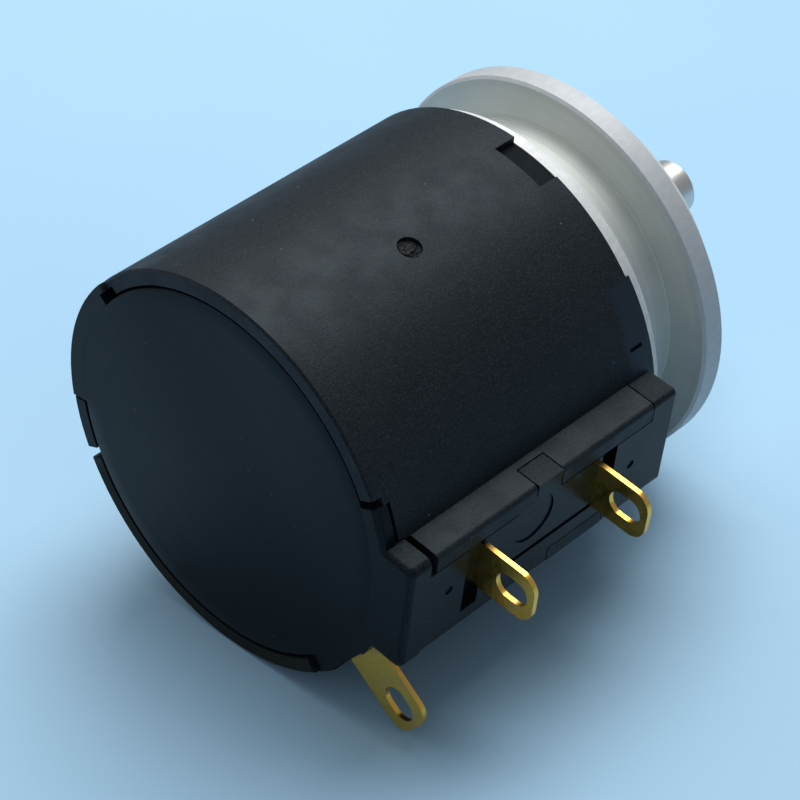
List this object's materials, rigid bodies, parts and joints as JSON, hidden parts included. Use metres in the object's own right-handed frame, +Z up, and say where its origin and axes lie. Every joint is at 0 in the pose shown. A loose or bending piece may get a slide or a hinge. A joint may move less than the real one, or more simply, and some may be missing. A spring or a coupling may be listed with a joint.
{
  "type": "precision potentiometer",
  "caption": "Servo-mount multi-turn wirewound potentiometer with turned flange, steel shaft on ball bearings, helical element and side solder lugs.",
  "frame": {"origin": "centre of the mounting flange's front face, on the shaft axis", "axes": "+X along the shaft, out of the flange; +Z up as the part lies on its side; the terminal bar looks towards -Y, turned 8 degrees below it"},
  "size_m": [0.0343, 0.0269, 0.0222],
  "materials": {
    "moulding": "grainy matt",
    "cover": "smooth, slightly glossy",
    "flange": "turned, satin",
    "shaft": "ground",
    "spring_steel": "satin",
    "spacer": "turned",
    "rotor": "moulded",
    "slider": "moulded",
    "contact_metal": "bright",
    "resistance_wire": "wound",
    "lug": "plated",
    "bearing_steel": "ground",
    "ball_steel": "polished",
    "cage": "satin"
  },
  "bodies": {
    "stator": {"housing": "moulding", "terminal_cover": "cover", "servo_flange": "flange", "bearing_snap_ring": "spring_steel", "bearing_spring": "spring_steel", "front_bearing_outer": "bearing_steel", "rear_bearing_outer": "bearing_steel", "resistance_helix": "resistance_wire", "front_lead": "contact_metal", "rear_lead": "contact_metal", "lug_front": "lug", "lug_middle": "lug", "lug_rear": "lug", "slip_ring_brush": "contact_metal"},
    "rotor": {"shaft": "shaft", "shaft_clips": "spring_steel", "shaft_shim": "spring_steel", "shaft_spacer": "spacer", "front_bearing_inner": "bearing_steel", "rear_bearing_inner": "bearing_steel", "rotor": "rotor", "collector_bar": "contact_metal", "slip_ring": "contact_metal"},
    "slider": {"slider_block": "slider", "wiper_spring": "contact_metal", "wiper_contact": "contact_metal", "collector_finger": "contact_metal"},
    "front_cage": {"front_bearing_cage": "cage", "front_bearing_balls": "ball_steel"},
    "rear_cage": {"rear_bearing_cage": "cage", "rear_bearing_balls": "ball_steel"}
  },
  "joints": [
    {"name": "shaft_turn", "type": "hinge", "parent": "stator", "child": "rotor", "pos_m": [0, 0, 0], "axis": [1, 0, 0], "range_deg": [-1800, 1800]},
    {"name": "slider_travel", "type": "slide", "parent": "rotor", "child": "slider", "axis": [1, 0, 0], "range_m": [-0.00701, 0.00701]},
    {"name": "front_cage_turn", "type": "hinge", "parent": "stator", "child": "front_cage", "pos_m": [0, 0, 0], "axis": [1, 0, 0], "range_deg": [-721, 721]},
    {"name": "rear_cage_turn", "type": "hinge", "parent": "stator", "child": "rear_cage", "pos_m": [0, 0, 0], "axis": [1, 0, 0], "range_deg": [-721, 721]}
  ],
  "couplings": [
    {"joint": "slider_travel", "follows": "shaft_turn", "m_per_rad": 0.00022282},
    {"joint": "front_cage_turn", "follows": "shaft_turn", "ratio": 0.40004},
    {"joint": "rear_cage_turn", "follows": "shaft_turn", "ratio": 0.40004}
  ]
}
